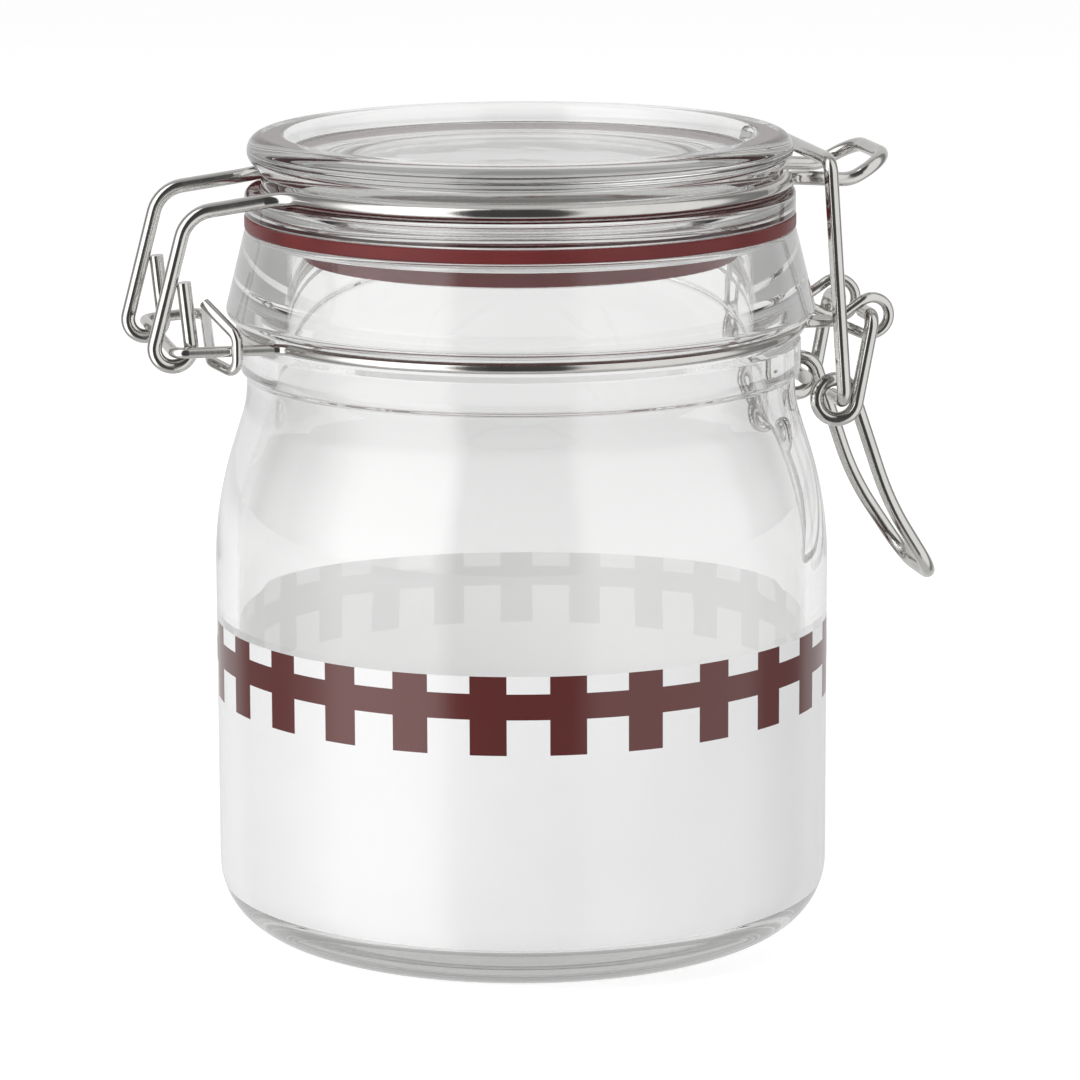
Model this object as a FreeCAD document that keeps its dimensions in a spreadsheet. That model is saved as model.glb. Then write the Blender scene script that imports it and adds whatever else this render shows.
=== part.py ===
import FreeCAD, Part
import Sketcher
import math
import os

# A round clip-top canister: a glass jar, a glass lid on a rubber ring, and a closure of four bent wires.
# The origin is the centre of the base, Z is up, the hinge is at -X and the lever at +X.
# Near is the -Y side. Every wire but the neck wire is the same on its far side.

SIZES = {
    # Jar, outside
    "body_radius": 54.0,
    "body_height": 76.0,
    "heel_round": 12.0,
    "foot_width": 3.5,
    "foot_round": 1.5,
    "punt_slope": 3.0,
    "punt_height": 2.2,
    "punt_round": 2.0,
    "shoulder_height": 18.7,
    "shoulder_depth": 5.9,
    "shoulder_round": 66.0,
    "neck_height": 3.9,
    "neck_round": 20.0,
    "bead_height": 7.4,
    "bead_depth": 1.0,
    "bead_rise": 1.4,
    "bead_round": 1.1,
    "wire_groove_height": 3.2,
    "wire_groove_depth": 0.2,
    "groove_round": 0.5,
    "collar_height": 15.65,
    "collar_depth": 3.9,
    "collar_taper": 3.9,
    "collar_round": 1.6,
    "lip_round": 1.6,
    # Jar, inside
    "wall": 3.7,
    "lip_width": 5.5,
    "mouth_slope": 1.6,
    "mouth_slope_depth": 2.35,
    "mouth_slope_round": 1.2,
    "mouth_round": 0.6,
    "floor_height": 7.0,
    "floor_round": 10.0,
    "inner_shoulder_lift": 0.5,
    "inner_shoulder_round": 50.0,
    "inner_neck_lift": 2.3,
    "inner_neck_round": 25.0,
    # Rubber ring
    "seat_gap": 0.02,
    "gasket_thickness": 2.4,
    "gasket_overhang": 0.1,
    "gasket_round": 0.5,
    "sleeve_gap": 0.1,
    "sleeve_thickness": 1.5,
    "sleeve_depth": 5.65,
    "sleeve_round": 0.3,
    # Lid
    "flange_height": 4.5,
    "flange_round": 1.2,
    "lid_groove_height": 2.9,
    "lid_groove_depth": 2.9,
    "rim_rise": 2.73,
    "rim_inset": 0.5,
    "rim_height": 3.9,
    "rim_round": 2.8,
    "rim_lower_round": 2.6,
    "rim_width": 6.4,
    "recess_slope": 1.6,
    "recess_depth": 3.1,
    "recess_round": 1.2,
    "lid_thickness": 4.8,
    "ceiling_round": 8.4,
    "plug_gap": 4.1,
    "plug_wall": 2.6,
    "plug_depth": 8.95,
    "plug_round": 1.0,
    # Wires
    "wire": 2.5,
    "neck_wire_size": 1.9,
    "wire_seat_gap": 0.05,
    "pass_gap": 0.3,
    "wire_bend": 3.2,
    "ring_lead": 2.8,
    # Hinge
    "hinge_reach": 11.9,
    "hook_bend": 3.15,
    "hook_rise": 0.5,
    "hook_y": 16.5,
    "hook_side_gap": 0.5,
    "arm_lean": 14.8,
    "arm_drop": 2.32,
    "arm_bend": 6.0,
    "arm_root_lead": 5.0,
    "arm_root_bend": 7.0,
    "tail_lean": 6.0,
    "tail_length": 11.7,
    "leg_bend": 2.2,
    "wrap_reach": 1.6,
    "wrap_rise": 2.8,
    "wrap_drop": 3.7,
    "wrap_bend": 2.2,
    "wrap_end_run": 4.6,
    "wrap_end_rise": 5.0,
    "cross_reach": 5.2,
    "cross_far_reach": 1.0,
    # Nose
    "nose_y": 11.0,
    "nose_reach": 8.6,
    "nose_drop": 0.77,
    "nose_tip_run": 6.75,
    "nose_tip_rise": 3.9,
    "nose_bend": 5.5,
    # Eyes
    "eye_reach": 8.5,
    "eye_rise": 0.6,
    "eye_bend": 3.4,
    "eye_y": 11.9,
    "eye_root_reach": 1.6,
    # Lever
    "pivot_back": 0.45,
    "pivot_lift": 0.45,
    "pivot_run": 4.3,
    "coil_back": 6.25,
    "coil_drop": 14.65,
    "coil_bend": 3.45,
    "coil_gap": 0.2,
    "handle_lean": 18.8,
    "handle_bend_drop": 19.0,
    "handle_bend": 45.0,
    "handle_tip_run": 19.4,
    "handle_tip_drop": 14.4,
    "handle_taper": 2.3,
    "handle_tip_bend": 6.5,
    # Link
    "link_pivot_out": 0.45,
    "link_pivot_lift": 0.15,
    "link_run": 4.8,
    "link_bend": 2.4,
    "crossbar_back": 5.4,
    "crossbar_lift": 4.25,
}

# What follows from the sizes above: radii from the axis, heights from the base, X and Y from the origin.
PLACES = {
    # Jar
    "foot_radius": "body_radius - heel_round - foot_width",
    "punt_radius": "foot_radius - punt_slope",
    "shoulder_top": "body_height + shoulder_height",
    "neck_radius": "body_radius - shoulder_depth",
    "bead_radius": "neck_radius + bead_depth",
    "bead_bottom": "shoulder_top + neck_height",
    "bead_low_edge": "bead_bottom + bead_rise",
    "bead_top": "bead_bottom + bead_height",
    "bead_high_edge": "bead_top - bead_rise",
    "wire_groove_radius": "neck_radius - wire_groove_depth",
    "collar_bottom": "bead_top + wire_groove_height",
    "collar_radius": "neck_radius + collar_depth",
    "lip_height": "collar_bottom + collar_height",
    "lip_radius": "collar_radius - collar_taper",
    "mouth_radius": "lip_radius - lip_width",
    "mouth_top_radius": "mouth_radius + mouth_slope",
    "mouth_slope_height": "lip_height - mouth_slope_depth",
    "inner_radius": "body_radius - wall",
    "inner_shoulder_bottom": "body_height + inner_shoulder_lift",
    "inner_shoulder_top": "shoulder_top + inner_neck_lift",
    # Rubber ring and lid
    "gasket_bottom": "lip_height + seat_gap",
    "gasket_outer_radius": "lip_radius + gasket_overhang",
    "flange_bottom": "gasket_bottom + gasket_thickness",
    "flange_top": "flange_bottom + flange_height",
    "lid_groove_radius": "lip_radius - lid_groove_depth",
    "lid_groove_top": "flange_top + lid_groove_height",
    "rim_radius": "lip_radius - rim_inset",
    "rim_bottom": "lid_groove_top + rim_rise",
    "rim_top": "rim_bottom + rim_height",
    "recess_top_radius": "rim_radius - rim_width",
    "recess_radius": "recess_top_radius - recess_slope",
    "recess_floor": "rim_top - recess_depth",
    "lid_ceiling": "recess_floor - lid_thickness",
    "plug_radius": "mouth_radius - plug_gap",
    "plug_inner_radius": "plug_radius - plug_wall",
    "plug_bottom": "flange_bottom - plug_depth",
    "sleeve_inner_radius": "plug_radius + sleeve_gap",
    "sleeve_outer_radius": "sleeve_inner_radius + sleeve_thickness",
    "sleeve_bottom": "gasket_bottom - sleeve_depth",
    # Wire rings
    "neck_wire_height": "bead_top + wire_groove_height / 2",
    "neck_ring": "wire_groove_radius + wire_seat_gap + neck_wire_size / 2",
    "lid_wire_height": "flange_top + lid_groove_height / 2",
    "lid_ring": "lid_groove_radius + wire_seat_gap + wire / 2",
    # Hinge
    "hinge_x": "-collar_radius - hinge_reach",
    "hook_bottom": "neck_wire_height + hook_rise - hook_bend",
    "arm_height": "lid_wire_height - arm_drop",
    "tail_height": "neck_wire_height + tail_length",
    "leg_y": "hook_y + wire / 2 + hook_side_gap + neck_wire_size / 2",
    "wrap_x": "-collar_radius - wrap_reach",
    "wrap_y": "leg_y + neck_wire_size + pass_gap",
    "wrap_top": "neck_wire_height + wrap_rise",
    "wrap_low": "neck_wire_height - wrap_drop",
    "wrap_end_x": "wrap_x - wrap_end_run",
    "wrap_end_height": "wrap_top + wrap_end_rise",
    "cross_x": "-collar_radius - cross_reach",
    "cross_y": "leg_y - 2 * neck_wire_size",
    "cross_height": "neck_wire_height - neck_wire_size - pass_gap",
    "cross_far_x": "-collar_radius - cross_far_reach",
    "cross_far_height": "neck_wire_height + neck_wire_size / 2",
    # Nose
    "nose_dip_x": "lip_radius + nose_reach",
    "nose_dip_height": "lid_wire_height - nose_drop",
    "nose_tip_x": "nose_dip_x + nose_tip_run",
    "nose_tip_height": "nose_dip_height + nose_tip_rise",
    # Eyes
    "eye_x": "collar_radius + eye_reach",
    "eye_height": "neck_wire_height + eye_rise",
    "eye_root_x": "collar_radius + eye_root_reach",
    "eye_back_y": "eye_y - neck_wire_size - coil_gap",
    # Lever
    "pivot_x": "eye_x - pivot_back",
    "pivot_height": "eye_height + pivot_lift",
    "pivot_end_y": "eye_y - pivot_run",
    "lever_y": "eye_y + neck_wire_size / 2 + pass_gap + wire / 2",
    "coil_x": "pivot_x - coil_back",
    "coil_height": "pivot_height - coil_drop",
    "handle_y": "lever_y - wire - coil_gap",
    "handle_bend_height": "coil_height - handle_bend_drop",
    "handle_tip_x": "coil_x + handle_tip_run",
    "handle_tip_y": "handle_y - handle_taper",
    "handle_tip_height": "handle_bend_height - handle_tip_drop",
    # Link
    "link_pivot_x": "coil_x + link_pivot_out",
    "link_pivot_height": "coil_height + link_pivot_lift",
    "link_y": "lever_y + wire + pass_gap",
    "link_end_y": "lever_y - link_run",
    "crossbar_x": "nose_dip_x - crossbar_back",
    "crossbar_height": "nose_dip_height + crossbar_lift",
}

doc = FreeCAD.newDocument("canister")


def make_sheet():
    sheet = doc.addObject("Spreadsheet::Sheet", "Sizes")
    cells = {name: str(value) for name, value in SIZES.items()}
    cells.update({name: f"={formula}" for name, formula in PLACES.items()})
    for row, (name, content) in enumerate(cells.items(), start=1):
        sheet.set(f"A{row}", name)
        sheet.setAlias(f"B{row}", name)
        sheet.set(f"B{row}", content)
    doc.recompute()
    return sheet


sizes = make_sheet()


def size(name):
    return float(sizes.get(name))


# Turned pieces

def tangent_length(before, corner, after, round_radius):
    turn = (corner - before).getAngle(after - corner)
    return round_radius * math.tan(turn / 2)


def add_arc(sketch, entry, corner, leave, round_radius):
    """Adds the corner's arc and returns it with its ends in walking order."""
    inward = (entry - corner).normalize() + (leave - corner).normalize()
    reach = math.hypot(round_radius, (entry - corner).Length)
    centre = corner + inward.normalize() * reach
    left_turn = (corner - entry).cross(leave - corner).z > 0
    first, last = (entry, leave) if left_turn else (leave, entry)
    angles = [math.atan2(end.y - centre.y, end.x - centre.x) for end in (first, last)]
    circle = Part.Circle(centre, FreeCAD.Vector(0, 0, 1), round_radius)
    arc = sketch.addGeometry(Part.ArcOfCircle(circle, *angles), False)
    return (arc, 1, 2) if left_turn else (arc, 2, 1)


def hold_point(sketch, geometry, end, radius, height):
    """Dimensions a point from the axis and the base, each bound to the sheet."""
    place = sketch.getPoint(geometry, end)
    if radius is None:
        sketch.addConstraint(Sketcher.Constraint("PointOnObject", geometry, end, -2))
    else:
        across = sketch.addConstraint(Sketcher.Constraint("DistanceX", -1, 1, geometry, end, place.x))
        sketch.setExpression(f"Constraints[{across}]", f"Sizes.{radius}")
    if height is None:
        sketch.addConstraint(Sketcher.Constraint("PointOnObject", geometry, end, -1))
    else:
        up = sketch.addConstraint(Sketcher.Constraint("DistanceY", -1, 1, geometry, end, place.y))
        sketch.setExpression(f"Constraints[{up}]", f"Sizes.{height}")


def draw_outline(sketch, corners):
    """Draws a closed outline of lines whose corners are sharp or rounded."""
    def value(name):
        return 0.0 if name is None else size(name)

    count = len(corners)
    points = [FreeCAD.Vector(value(radius), value(height), 0) for radius, height, _ in corners]
    rounds = [value(rounding) for _, _, rounding in corners]
    entries, leaves = [], []
    for i, point in enumerate(points):
        before, after = points[i - 1], points[(i + 1) % count]
        reach = tangent_length(before, point, after, rounds[i])
        entries.append(point + (before - point).normalize() * reach)
        leaves.append(point + (after - point).normalize() * reach)

    lines = []
    for i in range(count):
        line = Part.LineSegment(leaves[i], entries[(i + 1) % count])
        lines.append(sketch.addGeometry(line, False))

    for i, (radius, height, rounding) in enumerate(corners):
        incoming, outgoing = lines[i - 1], lines[i]
        if rounding is None:
            sketch.addConstraint(Sketcher.Constraint("Coincident", incoming, 2, outgoing, 1))
            hold_point(sketch, outgoing, 1, radius, height)
            continue
        arc, first, last = add_arc(sketch, entries[i], points[i], leaves[i], rounds[i])
        sketch.addConstraint(Sketcher.Constraint("Tangent", incoming, 2, arc, first))
        sketch.addConstraint(Sketcher.Constraint("Tangent", arc, last, outgoing, 1))
        bend = sketch.addConstraint(Sketcher.Constraint("Radius", arc, rounds[i]))
        sketch.setExpression(f"Constraints[{bend}]", f"Sizes.{rounding}")
        corner = sketch.addGeometry(Part.Point(points[i]), True)
        sketch.addConstraint(Sketcher.Constraint("PointOnObject", corner, 1, incoming))
        sketch.addConstraint(Sketcher.Constraint("PointOnObject", corner, 1, outgoing))
        hold_point(sketch, corner, 1, radius, height)


def turned(label, corners):
    body = doc.addObject("PartDesign::Body", label)
    sketch = body.newObject("Sketcher::SketchObject", f"{label}_outline")
    plane = next(item for item in body.Origin.OriginFeatures if item.Role == "XZ_Plane")
    sketch.AttachmentSupport = [(plane, "")]
    sketch.MapMode = "FlatFace"
    draw_outline(sketch, corners)
    revolution = body.newObject("PartDesign::Revolution", f"{label}_turned")
    revolution.Profile = sketch
    revolution.ReferenceAxis = (sketch, ["V_Axis"])
    revolution.Angle = 360
    return body


def jar():
    outside = [
        (None, "punt_height", None),
        ("punt_radius", "punt_height", "punt_round"),
        ("foot_radius", None, "foot_round"),
        ("body_radius", None, "heel_round"),
        ("body_radius", "body_height", "shoulder_round"),
        ("neck_radius", "shoulder_top", "neck_round"),
        ("neck_radius", "bead_bottom", "groove_round"),
        ("bead_radius", "bead_low_edge", "bead_round"),
        ("bead_radius", "bead_high_edge", "bead_round"),
        ("wire_groove_radius", "bead_top", "groove_round"),
        ("wire_groove_radius", "collar_bottom", "groove_round"),
        ("collar_radius", "collar_bottom", "collar_round"),
        ("lip_radius", "lip_height", "lip_round"),
    ]
    inside = [
        ("mouth_top_radius", "lip_height", "mouth_round"),
        ("mouth_radius", "mouth_slope_height", "mouth_slope_round"),
        ("mouth_radius", "inner_shoulder_top", "inner_neck_round"),
        ("inner_radius", "inner_shoulder_bottom", "inner_shoulder_round"),
        ("inner_radius", "floor_height", "floor_round"),
        (None, "floor_height", None),
    ]
    return turned("jar", outside + inside)


def gasket():
    """A flat ring on the lip, with a sleeve that hugs the lid's plug."""
    corners = [
        ("sleeve_inner_radius", "sleeve_bottom", "sleeve_round"),
        ("sleeve_outer_radius", "sleeve_bottom", "sleeve_round"),
        ("sleeve_outer_radius", "gasket_bottom", "sleeve_round"),
        ("gasket_outer_radius", "gasket_bottom", "gasket_round"),
        ("gasket_outer_radius", "flange_bottom", "gasket_round"),
        ("sleeve_inner_radius", "flange_bottom", "gasket_round"),
    ]
    return turned("gasket", corners)


def lid():
    corners = [
        (None, "lid_ceiling", None),
        ("plug_inner_radius", "lid_ceiling", "ceiling_round"),
        ("plug_inner_radius", "plug_bottom", "plug_round"),
        ("plug_radius", "plug_bottom", "plug_round"),
        ("plug_radius", "flange_bottom", "groove_round"),
        ("lip_radius", "flange_bottom", "groove_round"),
        ("lip_radius", "flange_top", "flange_round"),
        ("lid_groove_radius", "flange_top", "groove_round"),
        ("lid_groove_radius", "lid_groove_top", "groove_round"),
        ("rim_radius", "rim_bottom", "rim_lower_round"),
        ("rim_radius", "rim_top", "rim_round"),
        ("recess_top_radius", "rim_top", "recess_round"),
        ("recess_radius", "recess_floor", "recess_round"),
        (None, "recess_floor", None),
    ]
    return turned("lid", corners)


# Bent wires

SHORTEST_RUN = 0.0001


def rounded_path(corners):
    """Joins straight runs by tangent arcs; a corner without a radius is rounded to the middle of its run."""
    points = [FreeCAD.Vector(*place) for place, _ in corners]
    edges = []
    start = points[0]
    for i in range(1, len(points) - 1):
        before, corner, after = points[i - 1], points[i], points[i + 1]
        radius = corners[i][1]
        if radius is None:
            reach = min((corner - before).Length, (after - corner).Length) / 2
            radius = reach / math.tan((corner - before).getAngle(after - corner) / 2)
        reach = tangent_length(before, corner, after, radius)
        entry = corner + (before - corner).normalize() * reach
        leave = corner + (after - corner).normalize() * reach
        inward = ((entry + leave) * 0.5 - corner).normalize()
        middle = corner + inward * (math.hypot(radius, reach) - radius)
        if (entry - start).Length > SHORTEST_RUN:
            edges.append(Part.makeLine(start, entry))
            start = entry
        edges.append(Part.Arc(start, middle, leave).toShape())
        start = leave
    if (points[-1] - start).Length > SHORTEST_RUN:
        edges.append(Part.makeLine(start, points[-1]))
    return Part.Wire(edges)


def bent_wire(label, corners, diameter):
    path = doc.addObject("Part::Feature", f"{label}_path")
    path.Shape = rounded_path(corners)
    first = path.Shape.Edges[0]
    along = first.tangentAt(first.FirstParameter)
    section = doc.addObject("Part::Circle", f"{label}_section")
    section.setExpression("Radius", f"Sizes.{diameter} / 2")
    turn = FreeCAD.Rotation(FreeCAD.Vector(0, 0, 1), along)
    section.Placement = FreeCAD.Placement(FreeCAD.Vector(*corners[0][0]), turn)
    sweep = doc.addObject("Part::Sweep", label)
    sweep.Sections = [section]
    sweep.Spine = (path, [])
    sweep.Solid = True
    return sweep


def mirrored(corners):
    """The same corners on the far side, walked back."""
    return [((x, -y, z), radius) for (x, y, z), radius in reversed(corners)]


def leave_angle(radius, y, lead):
    """Angle from the X axis at which a ring is left, so that its straight lead ends at the distance y."""
    return math.asin(y / math.hypot(radius, lead)) + math.atan2(lead, radius)


def lead_end(radius, angle, lead):
    return radius * math.cos(angle) + lead * math.sin(angle)


def ring_corners(radius, start, end, height, steps=6):
    """Corners of the polygon round a ring, whose roundings make the ring's arc."""
    step = (end - start) / steps
    corner_radius = radius / math.cos(step / 2)
    corners = []
    for k in range(steps):
        angle = start + (k + 0.5) * step
        place = (corner_radius * math.cos(angle), corner_radius * math.sin(angle), height)
        corners.append((place, radius))
    return corners


def loop_corners(centre, radius, start, turn, y_start, y_end, steps=8):
    """Corners round a loop in the XZ plane, walked clockwise from the near side, drifting along Y."""
    step = turn / steps
    corner_radius = radius / math.cos(step / 2)
    corners = []
    for k in range(steps):
        share = (k + 0.5) / steps
        angle = start - turn * share
        x = centre[0] + corner_radius * math.cos(angle)
        z = centre[1] + corner_radius * math.sin(angle)
        corners.append(((x, y_start + (y_end - y_start) * share, z), None))
    return corners


def lid_wire():
    ring = size("lid_ring")
    ring_height = size("lid_wire_height")
    lead = size("ring_lead")
    bend = size("wire_bend")

    hook = size("hook_bend")
    hook_bottom = size("hook_bottom")
    arm_lean = math.radians(size("arm_lean"))
    tail_lean = math.radians(size("tail_lean"))
    outer_x = size("hinge_x") - hook * math.tan(math.pi / 4 + arm_lean / 2)
    inner_x = size("hinge_x") + hook * math.tan(math.pi / 4 + tail_lean / 2)
    arm_top_x = outer_x + (size("arm_height") - hook_bottom) * math.tan(arm_lean)
    tail_x = inner_x - (size("tail_height") - hook_bottom) * math.tan(tail_lean)
    hook_y = -size("hook_y")
    root_lead = size("arm_root_lead")
    back = leave_angle(ring, size("hook_y"), root_lead)
    hinge_arm = [
        ((tail_x, hook_y, size("tail_height")), None),
        ((inner_x, hook_y, hook_bottom), hook),
        ((outer_x, hook_y, hook_bottom), hook),
        ((arm_top_x, hook_y, size("arm_height")), size("arm_bend")),
        ((-lead_end(ring, back, root_lead), hook_y, ring_height), size("arm_root_bend")),
    ]

    nose_y = -size("nose_y")
    front = leave_angle(ring, size("nose_y"), lead)
    nose = [
        ((lead_end(ring, front, lead), nose_y, ring_height), bend),
        ((size("nose_dip_x"), nose_y, size("nose_dip_height")), size("nose_bend")),
        ((size("nose_tip_x"), nose_y, size("nose_tip_height")), size("nose_bend")),
    ]
    near_ring = ring_corners(ring, math.pi + back, 2 * math.pi - front, ring_height)
    near = hinge_arm + near_ring + nose
    return bent_wire("lid_wire", near + mirrored(near), "wire")


def neck_eye(ring, lead):
    """The near eye: out from the ring, once round, and back to the ring's front arc."""
    height = size("neck_wire_height")
    bend = size("eye_bend")
    centre = (size("eye_x"), size("eye_height"))
    root = (size("eye_root_x"), height)
    y_out = -size("eye_y")
    y_back = -size("eye_back_y")
    reach = math.hypot(centre[0] - root[0], centre[1] - root[1])
    slope = math.atan2(centre[1] - root[1], centre[0] - root[0])
    half = math.acos(bend / reach)
    top = slope + math.pi - half
    turn = 2 * math.pi - 2 * half
    out_angle = leave_angle(ring, -y_out, lead)
    back_angle = leave_angle(ring, -y_back, -lead)
    small_bend = size("leg_bend")
    return [
        ((lead_end(ring, out_angle, lead), y_out, height), small_bend),
        ((root[0], y_out, root[1]), size("wire_bend")),
        *loop_corners(centre, bend, top, turn, y_out, y_back),
        ((root[0], y_back, root[1]), size("wire_bend")),
        ((lead_end(ring, back_angle, -lead), y_back, height), small_bend),
    ]


def hinge_bracket():
    """The wrapped end, the cross run, the far leg, the hinge rod and the near leg."""
    hinge_x = size("hinge_x")
    height = size("neck_wire_height")
    leg_y = size("leg_y")
    leg_bend = size("leg_bend")
    wrap_x = size("wrap_x")
    wrap_y = -size("wrap_y")
    wrap_bend = size("wrap_bend")
    cross_y = -size("cross_y")
    bend = size("wire_bend")
    return [
        ((size("wrap_end_x"), cross_y, size("wrap_end_height")), None),
        ((wrap_x, wrap_y, size("wrap_top")), wrap_bend),
        ((wrap_x, wrap_y, size("wrap_low")), wrap_bend),
        ((size("cross_x"), cross_y, size("cross_height")), bend),
        ((size("cross_far_x"), leg_y, size("cross_far_height")), bend),
        ((hinge_x, leg_y, height), leg_bend),
        ((hinge_x, -leg_y, height), leg_bend),
    ]


def neck_wire():
    ring = size("neck_ring")
    height = size("neck_wire_height")
    lead = size("ring_lead")
    leg = leave_angle(ring, size("leg_y"), lead)
    out_angle = leave_angle(ring, size("eye_y"), lead)
    back_angle = leave_angle(ring, size("eye_back_y"), -lead)
    ring_end = math.pi + leg - 2 * math.atan2(2 * size("neck_wire_size"), ring)
    end_place = (ring * math.cos(ring_end), ring * math.sin(ring_end), height)

    near_eye = neck_eye(ring, lead)
    corners = [
        *hinge_bracket(),
        ((-lead_end(ring, leg, lead), -size("leg_y"), height), size("wire_bend")),
        *ring_corners(ring, math.pi + leg, 2 * math.pi - out_angle, height),
        *near_eye,
        *ring_corners(ring, -back_angle, back_angle, height, steps=2),
        *mirrored(near_eye),
        *ring_corners(ring, out_angle, ring_end, height),
        (end_place, None),
    ]
    return bent_wire("neck_wire", corners, "neck_wire_size")


def lever():
    pivot = (size("pivot_x"), size("pivot_height"))
    coil = (size("coil_x"), size("coil_height"))
    bend = size("coil_bend")
    strand_y = -size("lever_y")
    handle_y = -size("handle_y")
    lean = math.radians(size("handle_lean"))
    reach = math.hypot(pivot[0] - coil[0], pivot[1] - coil[1])
    start = math.atan2(pivot[1] - coil[1], pivot[0] - coil[0]) - math.acos(bend / reach)
    turn = start - (lean - 2 * math.pi)
    leave_x = coil[0] + bend * math.cos(lean)
    leave_height = coil[1] + bend * math.sin(lean)
    bend_x = leave_x + (leave_height - size("handle_bend_height")) * math.tan(lean)
    tip = (size("handle_tip_x"), -size("handle_tip_y"), size("handle_tip_height"))
    near = [
        ((pivot[0], -size("pivot_end_y"), pivot[1]), None),
        ((pivot[0], strand_y, pivot[1]), size("leg_bend")),
        *loop_corners(coil, bend, start, turn, strand_y, handle_y),
        ((bend_x, handle_y, size("handle_bend_height")), size("handle_bend")),
        (tip, size("handle_tip_bend")),
    ]
    return bent_wire("lever", near + mirrored(near), "wire")


def link():
    leg_y = -size("link_y")
    pivot = (size("link_pivot_x"), size("link_pivot_height"))
    bend = size("link_bend")
    near = [
        ((pivot[0], -size("link_end_y"), pivot[1]), None),
        ((pivot[0], leg_y, pivot[1]), bend),
        ((size("crossbar_x"), leg_y, size("crossbar_height")), bend),
    ]
    return bent_wire("link", near + mirrored(near), "wire")


def check(pieces):
    for item in doc.Objects:
        if "Invalid" in item.State or "Error" in item.State:
            raise RuntimeError(f"{item.Label} failed: {item.State}")
    for piece in pieces:
        if piece.Shape.isNull() or not piece.Shape.isValid() or len(piece.Shape.Solids) != 1:
            raise RuntimeError(f"{piece.Label} has no valid solid")


pieces = [jar(), lid(), gasket(), neck_wire(), lid_wire(), lever(), link()]
doc.recompute()
check(pieces)
os.makedirs("parts", exist_ok=True)
for piece in pieces:
    piece.Shape.exportStep(f"parts/{piece.Label}.step")
    box = piece.Shape.BoundBox
    print(f"{piece.Label}: {piece.Shape.Volume / 1000:.2f} cm3, x {box.XMin:.1f} to {box.XMax:.1f},",
          f"y {box.YMin:.1f} to {box.YMax:.1f}, z {box.ZMin:.1f} to {box.ZMax:.1f}")
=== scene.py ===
"""Looks of the lidded glass canister: clear glass, printed coat, rubber ring and polished wires."""
import math

import bmesh
import bpy
from mathutils import Matrix


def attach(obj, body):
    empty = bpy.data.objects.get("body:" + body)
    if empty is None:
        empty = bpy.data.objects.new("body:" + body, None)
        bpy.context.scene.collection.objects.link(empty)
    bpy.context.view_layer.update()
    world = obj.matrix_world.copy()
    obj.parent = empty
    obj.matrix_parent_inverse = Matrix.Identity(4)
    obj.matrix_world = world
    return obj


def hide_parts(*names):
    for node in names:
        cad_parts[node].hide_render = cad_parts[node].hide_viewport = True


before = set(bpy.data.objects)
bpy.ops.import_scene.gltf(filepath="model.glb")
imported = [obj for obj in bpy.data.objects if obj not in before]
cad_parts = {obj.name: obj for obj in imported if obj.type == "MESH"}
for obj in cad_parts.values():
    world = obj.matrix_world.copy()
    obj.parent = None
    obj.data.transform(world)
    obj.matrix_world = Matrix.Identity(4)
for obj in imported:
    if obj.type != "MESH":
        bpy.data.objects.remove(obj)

MM = 0.001

# Camera: where the photograph was taken from, in metres, and in degrees round the jar's upright axis.
CAMERA_TURN = -12.0
CAMERA_AWAY = 0.900
CAMERA_HEIGHT = 0.2511
CAMERA_DIP = 11.46
CAMERA_ROLL = -0.23
CAMERA_LENS = 173.03
CAMERA_SENSOR = 36.0
CAMERA_SHIFT = 0.0171

# Printed coat on the jar's outside, in millimetres and degrees.
BODY_RADIUS = 54.0
HEEL_ROUND = 12.0
COAT_OUT = 0.03
COAT_IN = 0.10
COAT_TOP = 56.2
STRIPE_TOP = 53.2
STRIPE_BOTTOM = 48.75
BARS_BOTTOM = 42.6
PLAIN_LEVELS = [30.0, 20.0]
COAT_BOTTOM = 8.6
HEEL_STEPS = 4
BAR_COUNT = 25
BAR_WIDTH = 6.65
BAR_FIRST = 251.9
COLUMNS_EACH = 3

# Material slots of the coat: white and dark outside, then the same two inside.
WHITE_SLOT = 0
DARK_SLOT = 1
BACK_SLOTS = 2

# Corners of the glass sections in millimetres: radius, level and round, from axis to axis.
JAR_SECTION = (
    # Hollow under the base, foot and heel.
    (0.0, 2.2, 0.0), (35.5, 2.2, 2.0), (38.5, 0.0, 1.5), (BODY_RADIUS, 0.0, HEEL_ROUND),
    # Body and shoulder.
    (BODY_RADIUS, 76.0, 66.0), (48.1, 94.7, 20.0),
    # Neck bead and wire groove.
    (48.1, 99.3, 0.8), (49.1, 100.0, 0.7), (49.1, 105.1, 0.4), (47.9, 106.0, 0.5), (47.9, 109.2, 0.5),
    # Collar, lip and sloped mouth.
    (52.0, 109.2, 1.6), (48.1, 124.85, 1.0), (44.2, 124.85, 0.6), (42.6, 122.4, 0.2),
    # Inside of the neck, wall and base.
    (42.6, 97.0, 25.0), (50.3, 76.5, 50.0), (50.3, 7.0, 10.0), (0.0, 7.0, 0.0),
)
LID_SECTION = (
    # Underside and locating ring.
    (0.0, 133.4, 0.0), (35.9, 133.4, 8.4), (35.9, 118.32, 1.0), (38.5, 118.32, 1.0), (38.5, 127.27, 0.5),
    # Flange and wire groove.
    (48.1, 127.27, 0.5), (48.1, 131.77, 1.2), (45.2, 131.77, 0.5), (45.2, 134.67, 0.5),
    # Raised rim and top.
    (47.6, 137.4, 2.6), (47.6, 141.3, 2.8), (41.2, 141.3, 1.2), (39.6, 138.2, 1.2), (0.0, 138.2, 0.0),
)

# Turned glass: faces round it, widest step round a corner in degrees, chord's error in millimetres.
SEGMENTS = 180
LONGEST_STEP = 8.0
CHORD_SLACK = 0.004

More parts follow.
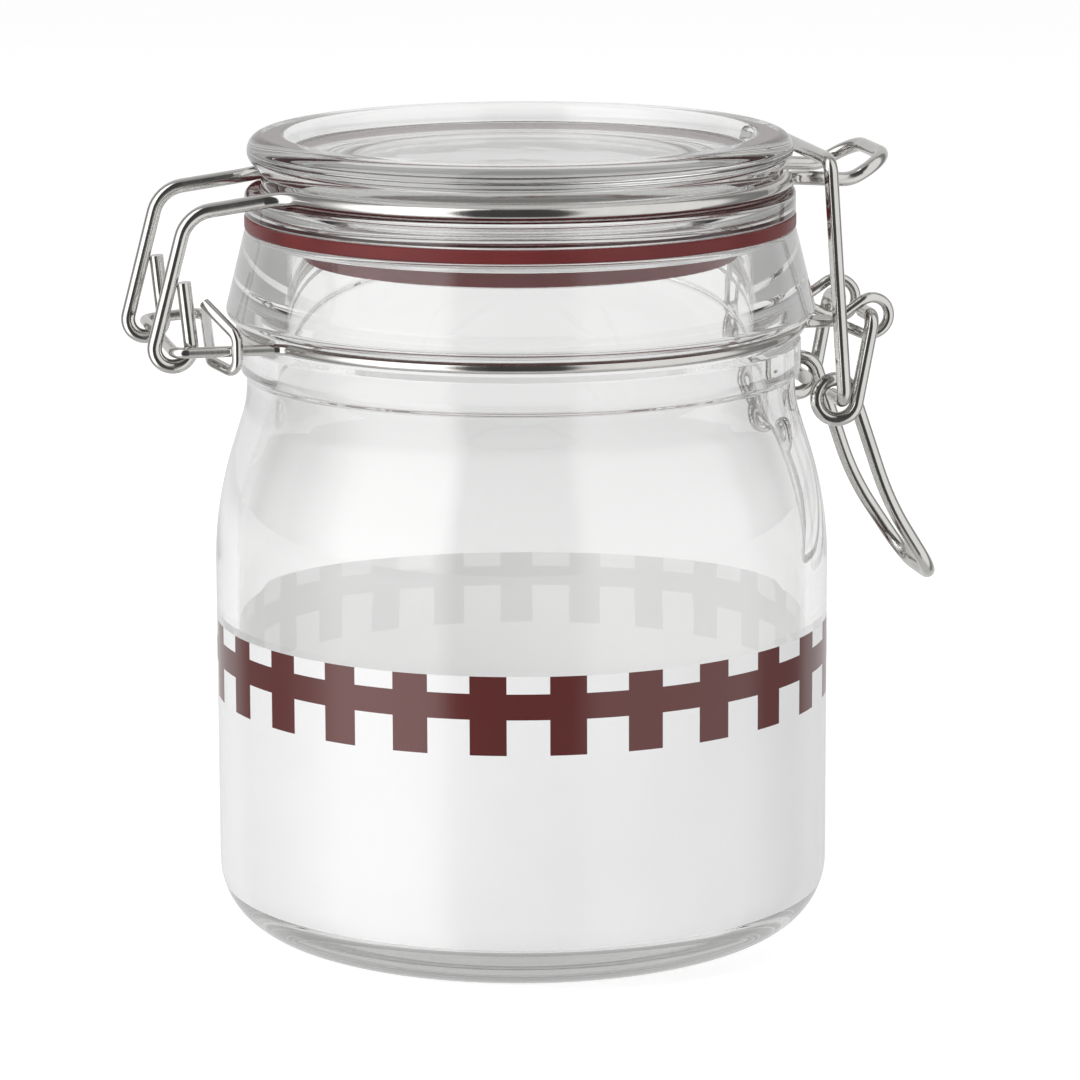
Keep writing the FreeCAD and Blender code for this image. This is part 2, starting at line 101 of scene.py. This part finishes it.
# Brightness of the room as each kind of ray meets it.
AMBIENT = 0.72
WINDOW_GAIN = 2.8
OVERHEAD = 0.6
UNDERSIDE = 0.85
BRIGHTEST_THROUGH = 0.90
DARKEST_THROUGH = 0.30

# Brightness round the room: degrees from the camera's side, and share of the window's light.
WINDOWS = (
    (-180, 0.33), (-135, 0.33), (-125, 0.12), (-100, 0.15), (-85, 0.40), (-72, 0.95), (-55, 1.0),
    (-32, 0.95), (-25, 0.04), (0, 0.03), (20, 0.04), (28, 0.50), (92, 0.50), (104, 0.14), (125, 0.12),
    (135, 0.33), (180, 0.33),
)

# Share of the ceiling and of the floor's glow, from straight down at 0 to straight up at 1.
CEILING_STOPS = ((0.0, 0.0), (0.95, 0.0), (0.99, 1.0))
GROUND_STOPS = ((0.0, 1.0), (0.06, 1.0), (0.16, 0.0))

# Floor: half its side and its drop below the jar in metres, and its glow to the camera and through glass.
FLOOR_REACH = 20.0
FLOOR_DROP = 0.0002
FLOOR_SEEN = 0.46
FLOOR_THROUGH = 0.31

# Level that the lamps face, in metres.
LAMP_MIDDLE = 0.06

# Glass: how it bends light, and its colour at the surface, in its depth and in its shadow.
GLASS_IOR = 1.5
GLASS_FACE = (0.962, 0.962, 0.960, 1.0)
GLASS_DEPTH = (0.83, 0.83, 0.825, 1.0)
GLASS_SHADOW = (0.985, 0.985, 0.985, 1.0)

# How soon the depth of the glass shows, and how close its waves lie, both per metre.
JAR_DENSITY = 30.0
LID_DENSITY = 40.0
JAR_WAVES = 45.0
LID_WAVES = 60.0

# Light that stands in for the room once a ray has been mirrored this often in the glass.
MANY_MIRRORS = 3.5
DEEP_LIGHT = 0.55

# Colours of the other materials.
WHITE_PRINT = (0.90, 0.90, 0.90)
MAROON_PRINT = (0.115, 0.028, 0.026)
WHITE_BACK = (0.92, 0.92, 0.92)
SHADED_BACK = (0.85, 0.85, 0.85)
MAROON_RUBBER = (0.152, 0.025, 0.026)
BRIGHT_STEEL = (0.60, 0.59, 0.57)
PALE_FLOOR = (0.85, 0.85, 0.85)

# Sockets of the Mix node, which share their names: two numbers, two colours and their results.
FIRST_NUMBER = 2
SECOND_NUMBER = 3
MIXED_NUMBER = 0
FIRST_COLOUR = 6
SECOND_COLOUR = 7
MIXED_COLOUR = 2


def node(tree, kind, values=None, **settings):
    """Adds a node, then sets its own settings and the values of its sockets."""
    made = tree.nodes.new("ShaderNode" + kind)
    for name, value in settings.items():
        setattr(made, name, value)
    for name, value in (values or {}).items():
        made.inputs[name].default_value = value
    return made


def join(tree, start, out_name, end, in_name):
    """Links a named output of one node to a named input of another."""
    tree.links.new(start.outputs[out_name], end.inputs[in_name])


def math_node(tree, operation, *terms):
    """The result of one operation on sockets or numbers."""
    made = node(tree, "Math", operation=operation)
    for place, term in enumerate(terms):
        if isinstance(term, (int, float)):
            made.inputs[place].default_value = term
        else:
            tree.links.new(term, made.inputs[place])
    return made.outputs["Value"]


def ramp(tree, source, stops):
    """A grey ramp of (place, brightness) stops, read at a socket."""
    made = node(tree, "ValToRGB")
    elements = made.color_ramp.elements
    while len(elements) < len(stops):
        elements.new(0.5)
    for element, (place, bright) in zip(elements, stops):
        element.position = place
        element.color = (bright, bright, bright, 1.0)
    tree.links.new(source, made.inputs["Fac"])
    return made.outputs["Color"]


def toward(tree, share, start, level):
    """A socket's value, drawn toward a fixed level by a share from zero to one."""
    made = node(tree, "Mix", data_type="FLOAT")
    made.inputs[SECOND_NUMBER].default_value = level
    tree.links.new(share, made.inputs["Factor"])
    tree.links.new(start, made.inputs[FIRST_NUMBER])
    return made.outputs[MIXED_NUMBER]


def new_material(name):
    """An empty material, with its tree and its output node."""
    made = bpy.data.materials.new(name)
    made.use_nodes = True
    made.node_tree.nodes.clear()
    output = node(made.node_tree, "OutputMaterial")
    return made, made.node_tree, output


def noise(tree, scale, detail=2.0):
    """Noise fixed to the object, with features about one metre over scale in size."""
    place = node(tree, "TexCoord")
    made = node(tree, "TexNoise", {"Scale": scale, "Detail": detail})
    join(tree, place, "Object", made, "Vector")
    return made


def spread(tree, source, low, high):
    """Noise brought into a range of values."""
    made = node(tree, "MapRange", {"From Min": 0.3, "From Max": 0.7, "To Min": low, "To Max": high})
    join(tree, source, "Fac", made, "Value")
    return made.outputs["Result"]


def tinted(tree, source, colour, change):
    """A colour that drifts a little lighter and darker with noise."""
    made = node(tree, "Mix", data_type="RGBA")
    darker = tuple(part * (1.0 - change) for part in colour)
    lighter = tuple(min(1.0, part * (1.0 + change)) for part in colour)
    made.inputs[FIRST_COLOUR].default_value = darker + (1.0,)
    made.inputs[SECOND_COLOUR].default_value = lighter + (1.0,)
    tree.links.new(spread(tree, source, low=0.0, high=1.0), made.inputs["Factor"])
    return made.outputs[MIXED_COLOUR]


def add_bump(tree, source, shader, strength, depth):
    """Bumps a shader's surface with noise, to a depth in metres."""
    made = node(tree, "Bump", {"Strength": strength, "Distance": depth})
    join(tree, source, "Fac", made, "Height")
    join(tree, made, "Normal", shader, "Normal")


def either(tree, choice, first, second):
    """The second shader where the choice is one, and the first elsewhere."""
    made = node(tree, "MixShader")
    tree.links.new(choice, made.inputs["Fac"])
    tree.links.new(first, made.inputs[1])
    tree.links.new(second, made.inputs[2])
    return made.outputs["Shader"]


def glass_material(name, waves, density):
    """Pressed glass: faintly wavy, and grey where the glass is deep."""
    made, tree, output = new_material(name)
    glass = node(tree, "BsdfPrincipled", {"IOR": GLASS_IOR, "Transmission Weight": 1.0})
    glass.inputs["Base Color"].default_value = GLASS_FACE
    depth = node(tree, "VolumeAbsorption", {"Color": GLASS_DEPTH, "Density": density})
    join(tree, depth, "Volume", output, "Volume")
    add_bump(tree, noise(tree, waves), glass, strength=0.05, depth=0.0004)
    smear = noise(tree, scale=60.0, detail=4.0)
    tree.links.new(spread(tree, smear, low=0.0, high=0.03), glass.inputs["Roughness"])
    light = node(tree, "LightPath")
    deep = math_node(tree, "GREATER_THAN", light.outputs["Glossy Depth"], MANY_MIRRORS)
    room = node(tree, "Emission", {"Strength": DEEP_LIGHT})
    seen = either(tree, deep, glass.outputs["BSDF"], room.outputs["Emission"])
    passing = math_node(tree, "MAXIMUM", light.outputs["Is Shadow Ray"], light.outputs["Is Diffuse Ray"])
    clear = node(tree, "BsdfTransparent", {"Color": GLASS_SHADOW})
    surface = either(tree, passing, seen, clear.outputs["BSDF"])
    tree.links.new(surface, output.inputs["Surface"])
    return made


def enamel_material(name, colour, gloss, painted_glow=0.0):
    """Fired enamel print: smooth, with faint orange peel and uneven gloss; its painted glow stands in for
    light let through from behind.
    """
    made, tree, output = new_material(name)
    # Painted light: the face glows in its own colour, standing in for light that the print lets through from
    # behind.
    paint = node(tree, "BsdfPrincipled", {"IOR": 1.5, "Emission Strength": painted_glow})
    paint.inputs["Emission Color"].default_value = colour + (1.0,)
    cloud = noise(tree, scale=35.0, detail=3.0)
    tree.links.new(tinted(tree, cloud, colour, change=0.02), paint.inputs["Base Color"])
    tree.links.new(spread(tree, cloud, low=gloss, high=gloss + 0.06), paint.inputs["Roughness"])
    add_bump(tree, noise(tree, scale=900.0), paint, strength=0.04, depth=0.0002)
    join(tree, paint, "BSDF", output, "Surface")
    return made


def rubber_material(name, colour):
    """Moulded rubber: fine grain, dull bloom in patches."""
    made, tree, output = new_material(name)
    rubber = node(tree, "BsdfPrincipled", {"IOR": 1.5, "Specular IOR Level": 0.22})
    bloom = noise(tree, scale=120.0, detail=3.0)
    tree.links.new(tinted(tree, bloom, colour, change=0.10), rubber.inputs["Base Color"])
    tree.links.new(spread(tree, bloom, low=0.30, high=0.42), rubber.inputs["Roughness"])
    add_bump(tree, noise(tree, scale=2500.0, detail=3.0), rubber, strength=0.25, depth=0.0001)
    join(tree, rubber, "BSDF", output, "Surface")
    return made


def wire_material(name, colour):
    """Polished drawn wire: fine draw lines and uneven polish."""
    made, tree, output = new_material(name)
    steel = node(tree, "BsdfPrincipled", {"Metallic": 1.0})
    polish = noise(tree, scale=250.0, detail=4.0)
    tree.links.new(tinted(tree, polish, colour, change=0.05), steel.inputs["Base Color"])
    tree.links.new(spread(tree, polish, low=0.10, high=0.17), steel.inputs["Roughness"])
    add_bump(tree, noise(tree, scale=1800.0), steel, strength=0.04, depth=0.0001)
    join(tree, steel, "BSDF", output, "Surface")
    return made


def floor_material(name, colour):
    """Pale floor: takes the object's shadow, and is white where the camera sees it."""
    made, tree, output = new_material(name)
    matt = node(tree, "BsdfDiffuse")
    grain = noise(tree, scale=40.0)
    tree.links.new(tinted(tree, grain, colour, change=0.005), matt.inputs["Color"])
    light = node(tree, "LightPath")
    seen = math_node(tree, "MULTIPLY", light.outputs["Is Camera Ray"], FLOOR_SEEN)
    through = math_node(tree, "MULTIPLY", light.outputs["Is Transmission Ray"], FLOOR_THROUGH)
    glow = node(tree, "Emission")
    tree.links.new(math_node(tree, "ADD", seen, through), glow.inputs["Strength"])
    both = node(tree, "AddShader")
    tree.links.new(matt.outputs["BSDF"], both.inputs[0])
    tree.links.new(glow.outputs["Emission"], both.inputs[1])
    join(tree, both, "Shader", output, "Surface")
    return made


def new_piece(name, data):
    """An object in the scene that shows a mesh, a lamp or a camera."""
    piece = bpy.data.objects.new(name, data)
    bpy.context.scene.collection.objects.link(piece)
    return piece


def corner_points(before, corner, after):
    """Points round one rounded corner of a section, each with the way the glass faces there."""
    radius, level, bend = corner
    first = math.atan2(level - before[1], radius - before[0])
    second = math.atan2(after[1] - level, after[0] - radius)
    turn = math.remainder(second - first, 2.0 * math.pi)
    side = math.copysign(bend, turn)
    reach = bend * math.tan(abs(turn) / 2.0)
    facing = first - math.pi / 2.0
    middle_radius = radius - reach * math.cos(first) - side * math.cos(facing)
    middle_level = level - reach * math.sin(first) - side * math.sin(facing)
    step = min(math.radians(LONGEST_STEP), 2.0 * math.acos(1.0 - CHORD_SLACK / bend))
    steps = max(2, math.ceil(abs(turn) / step))
    points = []
    for place in range(steps + 1):
        angle = facing + turn * place / steps
        out, up = math.cos(angle), math.sin(angle)
        points.append((middle_radius + side * out, middle_level + side * up, out, up))
    return points


def section_points(corners):
    """Points along a section from axis to axis, with every corner between them rounded."""
    points = [(0.0, corners[0][1], 0.0, -1.0)]
    for place in range(1, len(corners) - 1):
        points.extend(corner_points(corners[place - 1], corners[place], corners[place + 1]))
    points.append((0.0, corners[-1][1], 0.0, 1.0))
    return points


def lathe_ring(point, corners, normals):
    """Adds one ring of corners to a lathed piece, or one corner on the axis, and gives their numbers."""
    radius, level, out, up = point
    count = SEGMENTS if radius > 0.0 else 1
    start = len(corners)
    for place in range(count):
        angle = 2.0 * math.pi * place / count
        around, across = math.cos(angle), math.sin(angle)
        corners.append((radius * MM * around, radius * MM * across, level * MM))
        normals.append((out * around, out * across, up))
    return list(range(start, start + count))


def lathe_faces(lower, upper):
    """Faces between two neighbouring rings."""
    faces = []
    for place in range(SEGMENTS):
        after = (place + 1) % SEGMENTS
        if len(lower) == 1:
            faces.append((lower[0], upper[after], upper[place]))
        elif len(upper) == 1:
            faces.append((lower[place], lower[after], upper[0]))
        else:
            faces.append((lower[place], lower[after], upper[after], upper[place]))
    return faces


def build_lathe(name, section, material):
    """A piece of pressed glass, turned from its section, with exact normals for clean refraction."""
    corners = []
    normals = []
    rings = [lathe_ring(point, corners, normals) for point in section_points(section)]
    faces = []
    for lower, upper in zip(rings, rings[1:]):
        faces.extend(lathe_faces(lower, upper))
    data = bpy.data.meshes.new(name)
    data.from_pydata(corners, [], faces)
    data.shade_smooth()
    data.normals_split_custom_set_from_vertices(normals)
    data.materials.append(material)
    return new_piece(name, data)


def heel_radius(level):
    """Outside radius of the jar at a level: straight, then round at the heel."""
    if level >= HEEL_ROUND:
        return BODY_RADIUS
    drop = HEEL_ROUND - level
    return BODY_RADIUS - HEEL_ROUND + math.sqrt(HEEL_ROUND ** 2 - drop ** 2)


def coat_levels():
    """Levels of the coat from its top edge down to its lower edge on the heel."""
    levels = [COAT_TOP, STRIPE_TOP, STRIPE_BOTTOM, BARS_BOTTOM] + PLAIN_LEVELS + [HEEL_ROUND]
    for step in range(1, HEEL_STEPS + 1):
        levels.append(HEEL_ROUND - (HEEL_ROUND - COAT_BOTTOM) * step / HEEL_STEPS)
    return levels


def coat_columns():
    """Turn of each column's start, and whether the column belongs to a bar."""
    pitch = 360.0 / BAR_COUNT
    columns = []
    for bar in range(BAR_COUNT):
        start = BAR_FIRST + pitch * bar - BAR_WIDTH / 2.0
        for part in range(COLUMNS_EACH):
            columns.append((start + BAR_WIDTH * part / COLUMNS_EACH, True))
        for part in range(COLUMNS_EACH):
            columns.append((start + BAR_WIDTH + (pitch - BAR_WIDTH) * part / COLUMNS_EACH, False))
    return columns


def coloured(level, on_bar):
    """True where the row below a level is printed dark."""
    in_stripe = STRIPE_BOTTOM < level <= STRIPE_TOP
    in_bar = on_bar and BARS_BOTTOM < level <= COAT_TOP
    return in_stripe or in_bar


def coat_ring(mesh, columns, level, offset):
    """One ring of corners round the jar."""
    radius = (heel_radius(level) + offset) * MM
    ring = []
    for turn, _ in columns:
        angle = math.radians(turn)
        ring.append(mesh.verts.new((radius * math.cos(angle), radius * math.sin(angle), level * MM)))
    return ring


def coat_face(mesh, corners, slot, smooth):
    """One face of the coat, in a material slot."""
    face = mesh.faces.new(corners)
    face.material_index = slot
    face.smooth = smooth


def coat_strip(mesh, outer, inner, slots, place, after):
    """One upright strip of the shell: its rows outside and inside, then its upper and lower edge."""
    for row, slot in enumerate(slots):
        front = (outer[row][place], outer[row + 1][place], outer[row + 1][after], outer[row][after])
        back = (inner[row][after], inner[row + 1][after], inner[row + 1][place], inner[row][place])
        coat_face(mesh, front, slot, smooth=True)
        coat_face(mesh, back, slot + BACK_SLOTS, smooth=True)
    top = (inner[0][place], outer[0][place], outer[0][after], inner[0][after])
    low = (outer[-1][place], inner[-1][place], inner[-1][after], outer[-1][after])
    coat_face(mesh, top, WHITE_SLOT, smooth=False)
    coat_face(mesh, low, WHITE_SLOT, smooth=False)


def sharpen(mesh, ring):
    """Keeps the edge along a ring crisp."""
    for place in range(len(ring)):
        mesh.edges.get((ring[place - 1], ring[place])).smooth = False


def build_coat(materials):
    """The printed coat: a thin closed shell fired on to the jar's outside."""
    levels = coat_levels()
    columns = coat_columns()
    mesh = bmesh.new()
    outer = [coat_ring(mesh, columns, level, COAT_OUT) for level in levels]
    inner = [coat_ring(mesh, columns, level, -COAT_IN) for level in levels]
    for place, (_, on_bar) in enumerate(columns):
        slots = [DARK_SLOT if coloured(level, on_bar) else WHITE_SLOT for level in levels[:-1]]
        coat_strip(mesh, outer, inner, slots, place, (place + 1) % len(columns))
    for ring in (outer[0], outer[-1], inner[0], inner[-1]):
        sharpen(mesh, ring)
    data = bpy.data.meshes.new("printed_coat")
    mesh.to_mesh(data)
    mesh.free()
    for material in materials:
        data.materials.append(material)
    return new_piece("printed_coat", data)


def dress(name, material):
    """Gives every face of a CAD node one material."""
    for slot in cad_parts[name].material_slots:
        slot.material = material


def build_camera():
    """The camera at the photograph's viewing angle."""
    data = bpy.data.cameras.new("camera")
    data.lens = CAMERA_LENS
    data.sensor_width = CAMERA_SENSOR
    data.shift_x = CAMERA_SHIFT
    turn = math.radians(CAMERA_TURN)
    place = Matrix.Translation((CAMERA_AWAY * math.sin(turn), -CAMERA_AWAY * math.cos(turn), CAMERA_HEIGHT))
    around = Matrix.Rotation(turn, 4, "Z")
    tilt = Matrix.Rotation(math.radians(90.0 - CAMERA_DIP), 4, "X")
    roll = Matrix.Rotation(math.radians(CAMERA_ROLL), 4, "Z")
    camera = new_piece("camera", data)
    camera.matrix_world = place @ around @ tilt @ roll
    bpy.context.scene.camera = camera


def build_floor():
    """A wide pale floor just under the jar."""
    mesh = bmesh.new()
    bmesh.ops.create_grid(mesh, x_segments=4, y_segments=4, size=FLOOR_REACH)
    data = bpy.data.meshes.new("floor")
    mesh.to_mesh(data)
    mesh.free()
    data.materials.append(floor_material("floor_white", PALE_FLOOR))
    floor = new_piece("floor", data)
    floor.location.z = -FLOOR_DROP
    floor.visible_glossy = False


def build_lamp(name, turn, rise, away, side, watts):
    """A soft square lamp that faces the jar, at a turn round it from the camera's side."""
    data = bpy.data.lights.new(name, "AREA")
    data.size = side
    data.energy = watts
    around = Matrix.Rotation(math.radians(CAMERA_TURN + turn), 4, "Z")
    tilt = Matrix.Rotation(math.radians(90.0 - rise), 4, "X")
    middle = Matrix.Translation((0.0, 0.0, LAMP_MIDDLE))
    lamp = new_piece(name, data)
    lamp.matrix_world = middle @ around @ tilt @ Matrix.Translation((0.0, 0.0, away))
    lamp.visible_camera = False
    lamp.visible_glossy = False
    lamp.visible_transmission = False


def room_light(tree):
    """Brightness of the room in each direction: tall windows, a ceiling and a pale ground."""
    place = node(tree, "TexCoord")
    turn = node(tree, "VectorRotate", {"Angle": math.radians(90.0 - CAMERA_TURN)}, rotation_type="Z_AXIS")
    parts = node(tree, "SeparateXYZ")
    join(tree, place, "Generated", turn, "Vector")
    join(tree, turn, "Vector", parts, "Vector")
    # The share of a full turn and the rise from straight down to straight up both go from 0 to 1.
    azimuth = math_node(tree, "ARCTAN2", parts.outputs["Y"], parts.outputs["X"])
    share = math_node(tree, "MULTIPLY_ADD", azimuth, 0.5 / math.pi, 0.5)
    stops = [((angle + 180.0) / 360.0, bright) for angle, bright in WINDOWS]
    windows = math_node(tree, "MULTIPLY", ramp(tree, share, stops), WINDOW_GAIN)
    rise = math_node(tree, "MULTIPLY_ADD", parts.outputs["Z"], 0.5, 0.5)
    with_ceiling = toward(tree, ramp(tree, rise, CEILING_STOPS), windows, OVERHEAD)
    return toward(tree, ramp(tree, rise, GROUND_STOPS), with_ceiling, UNDERSIDE)


def brightness(tree, room):
    """What each ray meets: white for the camera, the room in metal and glass, plain light elsewhere."""
    light = node(tree, "LightPath")
    dimmed = math_node(tree, "MINIMUM", room, BRIGHTEST_THROUGH)
    through = math_node(tree, "MAXIMUM", dimmed, DARKEST_THROUGH)
    more_mirrored = math_node(tree, "SUBTRACT", room, AMBIENT)
    more_through = math_node(tree, "SUBTRACT", through, AMBIENT)
    seen = math_node(tree, "MULTIPLY", light.outputs["Is Camera Ray"], 1.0 - AMBIENT)
    mirrored = math_node(tree, "MULTIPLY", light.outputs["Is Glossy Ray"], more_mirrored)
    passed = math_node(tree, "MULTIPLY", light.outputs["Is Transmission Ray"], more_through)
    total = math_node(tree, "ADD", math_node(tree, "ADD", seen, mirrored), passed)
    return math_node(tree, "ADD", total, AMBIENT)


def build_world():
    """White room: plain light on the object, with tall windows left and right in reflections."""
    world = bpy.data.worlds.new("studio")
    world.use_nodes = True
    tree = world.node_tree
    tree.nodes.clear()
    output = node(tree, "OutputWorld")
    glow = node(tree, "Background")
    tree.links.new(brightness(tree, room_light(tree)), glow.inputs["Strength"])
    join(tree, glow, "Background", output, "Surface")
    bpy.context.scene.world = world


bpy.context.view_layer.update()
build_camera()
build_floor()
build_world()
build_lamp("key_lamp", turn=-62.0, rise=30.0, away=1.2, side=0.7, watts=5.2)
build_lamp("fill_lamp", turn=35.0, rise=15.0, away=1.2, side=0.7, watts=2.4)
build_lamp("top_lamp", turn=0.0, rise=85.0, away=1.2, side=0.8, watts=2.0)

jar = build_lathe("glass_jar", JAR_SECTION, glass_material("jar_glass_clear", JAR_WAVES, JAR_DENSITY))
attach(jar, "jar")
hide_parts("jar")
lid = build_lathe("glass_lid", LID_SECTION, glass_material("lid_glass_clear", LID_WAVES, LID_DENSITY))
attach(lid, "lid")
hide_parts("lid")

steel = wire_material("polished_wire", BRIGHT_STEEL)
dress("gasket", rubber_material("maroon_rubber", MAROON_RUBBER))
for wire in ("neck_wire", "lid_wire", "lever", "link"):
    dress(wire, steel)

coat = build_coat((
    enamel_material("white_enamel", WHITE_PRINT, gloss=0.14),
    enamel_material("maroon_enamel", MAROON_PRINT, gloss=0.12),
    # The inside faces of the coat carry a painted glow, weaker behind the dark bars, standing in for light
    # let through from behind.
    enamel_material("white_enamel_back", WHITE_BACK, gloss=0.30, painted_glow=0.21),
    enamel_material("shaded_enamel_back", SHADED_BACK, gloss=0.30, painted_glow=0.17),
))
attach(coat, "jar")

bpy.context.scene.view_settings.view_transform = "Standard"
bpy.context.view_layer.update()
